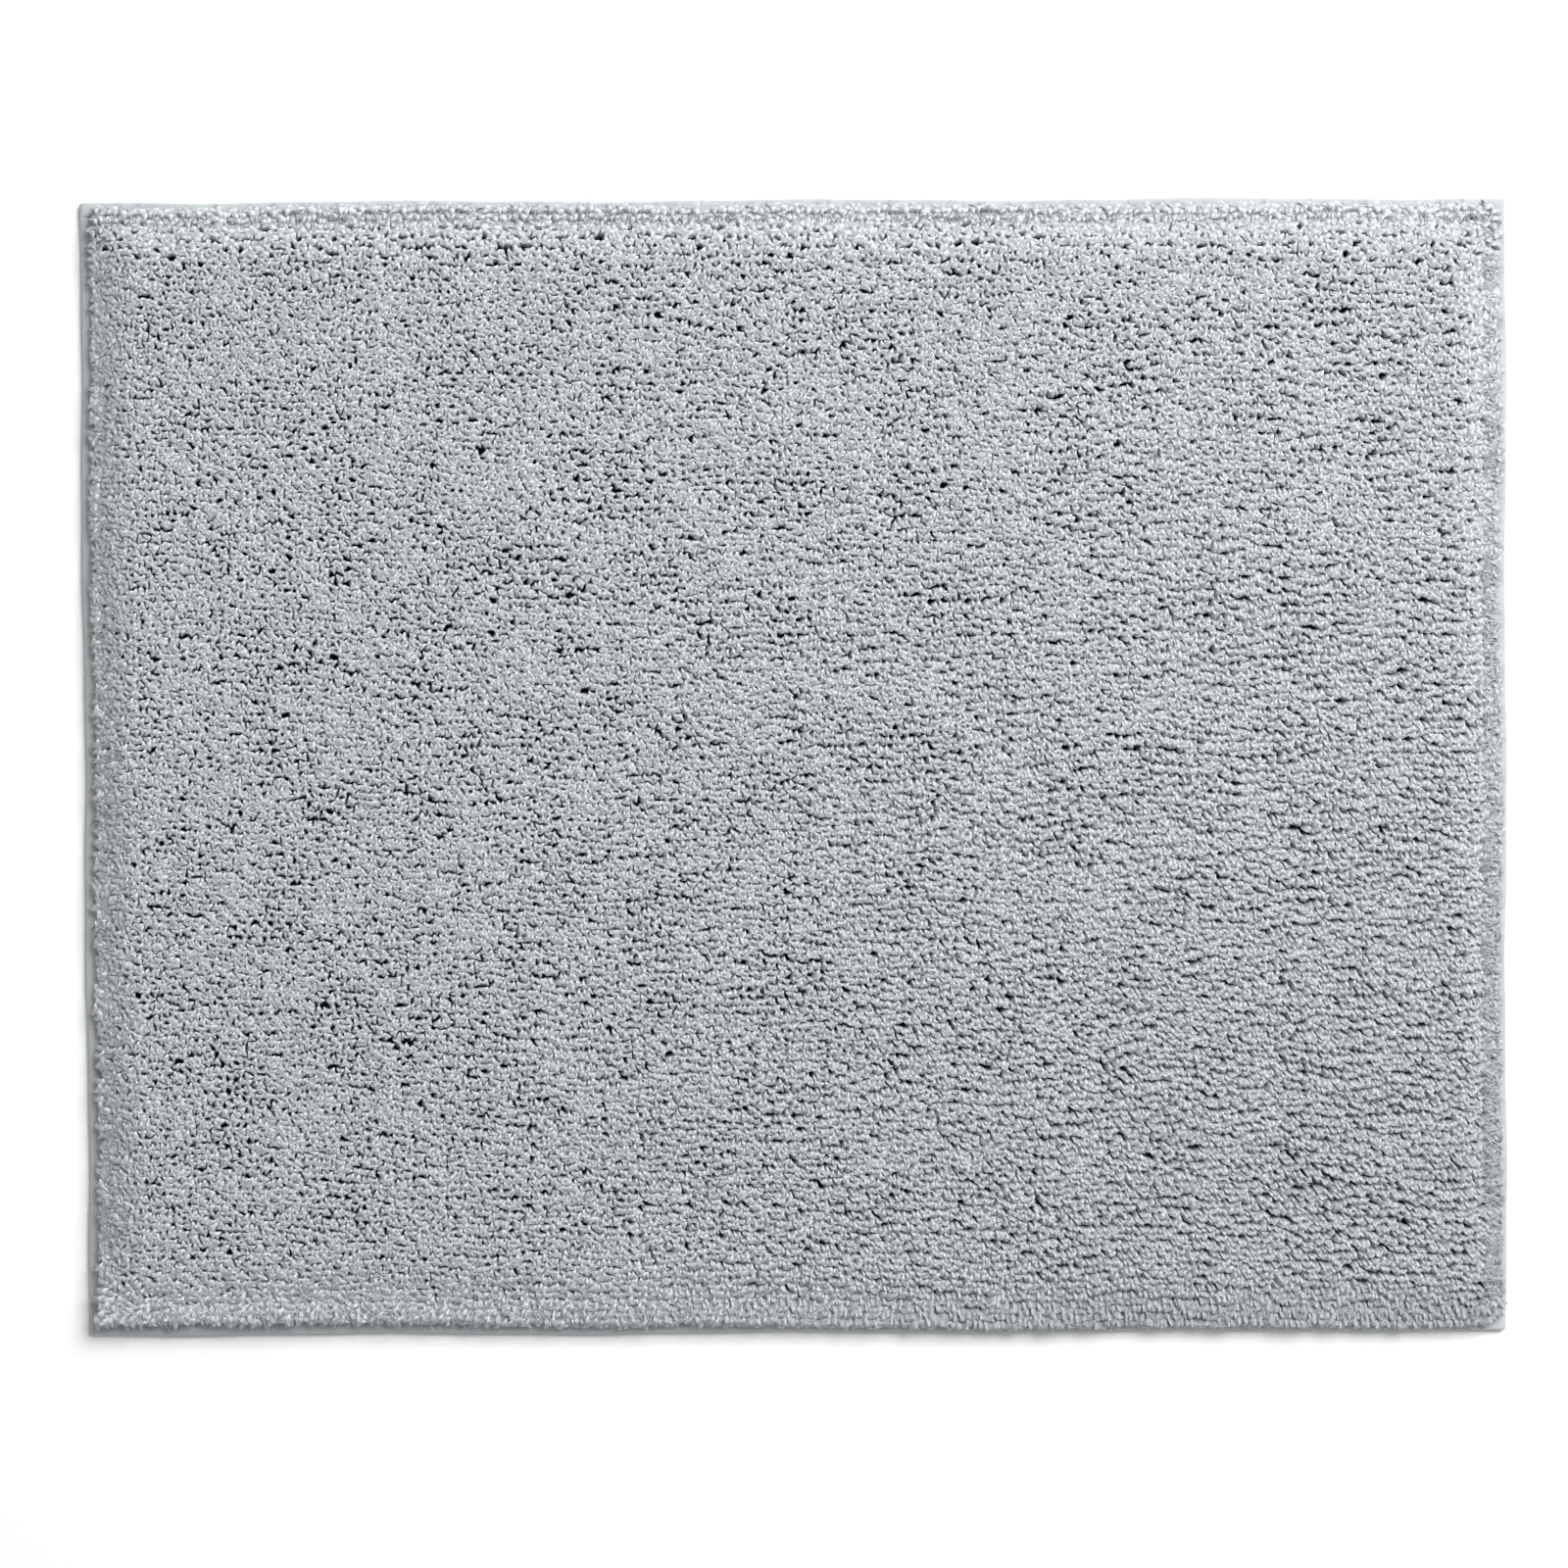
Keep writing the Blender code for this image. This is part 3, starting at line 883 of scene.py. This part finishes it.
laying = Tree(bpy.data.node_groups.new("laying", "GeometryNodeTree"))
given = interface(
    laying,
    Yarn="Object",
    Material="Material",
    Pitch="Float",
    Inset="Float",
    Turn="Float",
    Spread="Float",
    Length="Float",
    Stray="Float",
    Height="Float",
    Rise="Float",
    Arch="Float",
    Curl="Float",
    Radius="Float",
    Thin="Float",
    Seed="Int",
)
seed = given["Seed"]
half_x = RIM_X - given["Inset"]
half_y = RIM_Y - given["Inset"]
join = laying.tree.nodes.new("GeometryNodeJoinGeometry")
for out_x, out_y in ((0.0, -1.0), (1.0, 0.0), (0.0, 1.0), (-1.0, 0.0)):
    half = half_x if out_y else half_y
    line = laying.node(
        "GeometryNodeMeshLine",
        {"mode": "OFFSET"},
        {
            "Count": (half * 2) / given["Pitch"],
            "Start Location": laying.vector(half_x * (out_x + out_y), half_y * (out_y - out_x), 0.0),
            "Offset": laying.vector(given["Pitch"] * -out_y, given["Pitch"] * out_x, 0.0),
        },
    )
    line = store(laying, line, "along", "FLOAT_VECTOR", (-out_y, out_x, 0.0))
    laying.tree.links.new(line.socket, join.inputs[0])
points = Wire(laying, join.outputs[0])
place = laying.node("GeometryNodeInputPosition")
index = laying.node("GeometryNodeInputIndex")
heading = laying.node(
    "ShaderNodeVectorRotate",
    {"rotation_type": "Z_AXIS"},
    {
        "Vector": stored(laying, "along", "FLOAT_VECTOR"),
        "Angle": chance(laying, -1.0, 1.0, seed) * given["Spread"] - given["Turn"],
    },
)
px, py, _ = laying.parts(place)
thinned = px.ramp(RIM_X * THIN_FRONT[0], RIM_X * THIN_FRONT[1], 0.0, given["Thin"])
dropped = py.apply("LESS_THAN", half_y * ON_SIDE) * thinned
dropped = dropped + px.apply("LESS_THAN", half_x * ON_SIDE) * (given["Thin"] * THIN_LEFT)
dropped = dropped.apply("GREATER_THAN", chance(laying, 0.0, 1.0, seed + 6))
points = laying.node(
    "GeometryNodeDeleteGeometry", {"domain": "POINT"}, {"Geometry": points, "Selection": dropped}
)
number = laying.node("GeometryNodeAttributeDomainSize", {"component": "MESH"}, {"Geometry": points})
stray = chance(laying, 0.0, 1.0, seed + 1) ** STRAY_CURVE
threads = (
    ("root", "FLOAT_VECTOR", place),
    ("heading", "FLOAT_VECTOR", heading),
    ("span", "FLOAT", given["Length"] * chance(laying, *SPAN_SPREAD, seed + 2) + given["Stray"] * stray),
    ("start", "FLOAT", given["Rise"] * chance(laying, 0.0, 1.0, seed + 3)),
    ("curl", "FLOAT", given["Curl"] * chance(laying, -1.0, 1.0, seed + 4)),
    ("tint", "FLOAT", chance(laying, 0.0, 1.0, seed + 5)),
    ("cell", "FLOAT_VECTOR", square_on_map(laying, index, number)),
)
geometry = planted(laying, points, given["Yarn"], threads)

# Each thread stands a unit high on its root too. It is laid down along its heading, arched and curled.
root = stored(laying, "root", "FLOAT_VECTOR")
heading = stored(laying, "heading", "FLOAT_VECTOR")
span = stored(laying, "span", "FLOAT")
local_x, local_y, share = laying.parts(place - root)
sideways = laying.node("ShaderNodeVectorMath", {"operation": "CROSS_PRODUCT"}, {0: UPWARDS, 1: heading})
level = given["Height"] + stored(laying, "start", "FLOAT") * (1 - share * share)
level = level + given["Arch"] * share * (1 - share) * 4 + local_y * given["Radius"]
sway = stored(laying, "curl", "FLOAT") * share * share * span + local_x * given["Radius"]
position = root + heading.scaled(share * span) + sideways.scaled(sway) + laying.vector(0.0, 0.0, level)
# A loose fibre takes its colour from near the tip end of the painted shade from root to tip, and gets no
# painted groove shade.
geometry = store(laying, geometry, "height", "FLOAT", share * (1 - FIBRE_HEIGHT) + FIBRE_HEIGHT)
geometry = store(laying, geometry, "groove", "FLOAT", 0.0)
geometry = laying.node("GeometryNodeSetPosition", None, {"Geometry": geometry, "Position": position})
give_out(laying, mapped(laying, geometry), given["Material"])

THREAD_DARK = (0.34, 0.365, 0.375, 1.0)
THREAD_LIGHT = (0.60, 0.63, 0.645, 1.0)
THREAD_LINT = 1500.0
THREAD_RELIEF = 0.0002
thread_finish, tree, shader = cloth_material("sewing_thread_twist", roughness=0.6, sheen=0.1)
u, v, _ = tree.parts(tree.attribute("leg_map", "Vector"))
plies = (((u * 2 + v * 3) * (2 * math.pi)).apply("SINE")) * 0.5 + 0.5
lint = tree.noise(tree.place(), THREAD_LINT)
drive(
    tree,
    shader,
    base_color=tree.mix(plies * 0.7 + lint * 0.3, THREAD_DARK, THREAD_LIGHT),
    normal=tree.bump(plies + lint * 0.3, THREAD_RELIEF),
)

THREAD_RADIUS = 0.00022
STITCH_ARCH = 0.00045  # how far a dash of the needle thread rises between its two holes
BOBBIN_ARCH = -0.00040
BOBBIN_RISE = 0.00020  # how far the bobbin thread lies above the tape's lowest point
STITCH_SHARE = 0.92  # of the pitch, which a dash takes up
STITCH_RINGS = ((0.04, 0.8), (0.3, 1.0), (0.7, 1.0), (0.96, 0.8))
dash = yarn_leg("dash", 5, STITCH_RINGS, 1.0, 0.0, 0.0, (0.05, 0.32, 0.68, 0.95))
thread_low, thread_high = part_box("needle_thread_left")
seam_in = RIM_X - abs((thread_low.x + thread_high.x) / 2)
tape_low, tape_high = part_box("binding_tape_front")
climb_at_seam = TAPE_CLIMB * seam_in / (tape_high.y - tape_low.y)
for name, node, height, arch in (
    ("needle_stitches", "needle_thread", tape_high.z + climb_at_seam, STITCH_ARCH),
    ("bobbin_stitches", "bobbin_thread", tape_low.z + BOBBIN_RISE, BOBBIN_ARCH),
):
    seam = grown(
        name,
        laying,
        Yarn=dash,
        Material=thread_finish,
        Pitch=SEAM_PITCH,
        Inset=seam_in,
        Turn=0.0,
        Spread=0.05,
        Length=SEAM_PITCH * STITCH_SHARE,
        Stray=0.0,
        Height=height,
        Rise=0.0,
        Arch=arch,
        Curl=0.02,
        Radius=THREAD_RADIUS,
        Thin=0.0,
        Seed=3,
    )
    sides = [f"{node}_{side}" for side in ("front", "back", "left", "right")]
    finish_piece(seam, thread_finish, "sewing_thread", *sides)
bpy.data.objects.remove(dash)

FIBRE_RINGS = ((0.0, 0.9), (0.45, 1.0), (0.8, 0.75))
FIBRE_RADIUS = 0.00023
FIBRE_LIFT = 0.0014  # how far above the tape a fibre's far end lies
wisp = yarn_leg("wisp", 3, FIBRE_RINGS, 1.0, 0.0, 0.0, (0.05, 0.45, 0.8))
combed = grown(
    "combed_fibres",
    laying,
    Yarn=wisp,
    Material=yarn_finish,
    Pitch=0.00035,
    Inset=0.0125,
    Turn=math.pi / 2,
    Spread=0.8,
    Length=0.0090,
    Stray=0.0065,
    Height=tape_high.z + FIBRE_LIFT,
    Rise=0.0085,
    Arch=0.0006,
    Curl=0.35,
    Radius=FIBRE_RADIUS,
    Thin=0.85,
    Seed=11,
)
finish_piece(combed, yarn_finish, "pile_yarn")
bpy.data.objects.remove(wisp)

low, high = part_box("ground_cloth")


# Floor, light and camera. A pale floor under one large soft light from the back right, with an even sky, and
# a camera that looks straight down.
FLOOR_SIZE = 12.0
FLOOR_WHITE = (0.80, 0.80, 0.80, 1.0)
bpy.ops.mesh.primitive_plane_add(size=FLOOR_SIZE)
floor = bpy.context.object
floor.name = "floor"
floor_finish = bpy.data.materials.new("floor_white")
floor_finish.use_nodes = True
shader = floor_finish.node_tree.nodes["Principled BSDF"]
shader.inputs["Base Color"].default_value = FLOOR_WHITE
shader.inputs["Roughness"].default_value = 0.9
floor.data.materials.append(floor_finish)

KEY_PLACE = (1.2, 1.45, 2.1)
KEY_SIZE = 2.2
KEY_POWER = 127.0
key = bpy.data.lights.new("key_light", "AREA")
key.shape = "DISK"
key.size = KEY_SIZE
key.energy = KEY_POWER
key_object = bpy.data.objects.new("key_light", key)
bpy.context.scene.collection.objects.link(key_object)
key_object.location = KEY_PLACE
key_object.rotation_euler = (-key_object.location).to_track_quat("-Z", "Y").to_euler()

SKY = 0.50
world = bpy.data.worlds.new("studio")
bpy.context.scene.world = world
world.use_nodes = True
world.node_tree.nodes["Background"].inputs["Color"].default_value = (1.0, 1.0, 1.0, 1.0)
world.node_tree.nodes["Background"].inputs["Strength"].default_value = SKY
bpy.context.scene.view_settings.view_transform = "Standard"

CAMERA_PLACE = (-0.0057, -0.0087, 2.5)
PICTURE_WIDTH = 0.7734  # what the picture takes in at the height of the binding tape
camera = bpy.data.cameras.new("camera")
camera.sensor_width = 36.0
camera.lens = camera.sensor_width * CAMERA_PLACE[2] / PICTURE_WIDTH
camera_object = bpy.data.objects.new("camera", camera)
bpy.context.scene.collection.objects.link(camera_object)
camera_object.location = CAMERA_PLACE
bpy.context.scene.camera = camera_object
